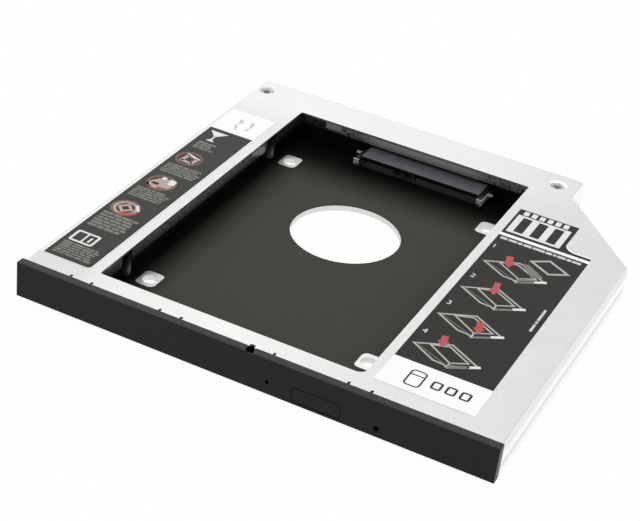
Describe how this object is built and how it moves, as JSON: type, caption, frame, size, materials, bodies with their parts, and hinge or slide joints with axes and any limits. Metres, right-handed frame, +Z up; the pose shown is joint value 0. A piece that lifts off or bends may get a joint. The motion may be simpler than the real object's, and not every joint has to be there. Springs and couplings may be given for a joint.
{
  "type": "laptop drive caddy",
  "caption": "Slim aluminium tray with a rectangular drive bay, round floor hole, rear drive socket, printed labels and a black front strip with an eject button.",
  "frame": {"origin": "middle of the underside of the whole caddy, front strip included", "axes": "+Z up out of the drive bay, +Y from the front strip to the rear plug, +X to the right seen from the front strip"},
  "size_m": [0.1282, 0.1286, 0.0097],
  "materials": {
    "cover_aluminium": "fine matt, rolled sheet",
    "base_aluminium": "satin",
    "insulating_film": "matt black film",
    "frame_plastic": "fine moulded grain",
    "bezel_plastic": "fine moulded grain",
    "button_plastic": "fine moulded grain",
    "socket_plastic": "smooth moulded",
    "board_laminate": "solder mask",
    "contact_gold": "gold plated",
    "spring_steel": "cold rolled",
    "screw_steel": "zinc plated",
    "tinned_sheet": "tinned",
    "capacitor_ceramic": "bare",
    "resistor_ceramic": "coated",
    "label_stock": "satin printed label"
  },
  "bodies": {
    "caddy": {"cover": "cover_aluminium", "base_plate": "base_aluminium", "floor_film": "insulating_film", "frame": "frame_plastic", "side_springs": "spring_steel", "bezel": "bezel_plastic", "base_screws": "screw_steel", "circuit_board": "board_laminate", "board_screws": "screw_steel", "drive_socket": "socket_plastic", "drive_socket_contacts": "contact_gold", "socket_brackets": "tinned_sheet", "laptop_plug": "socket_plastic", "laptop_plug_contacts": "contact_gold", "board_capacitors": "capacitor_ceramic", "board_resistors": "resistor_ceramic", "left_label": "label_stock", "guide_label": "label_stock"},
    "button": {"eject_button": "button_plastic"}
  },
  "joints": [
    {"name": "button_press", "type": "slide", "parent": "caddy", "child": "button", "axis": [0, 1, 0], "range_m": [0, 0.0008], "stiffness_N_per_m": 400}
  ]
}
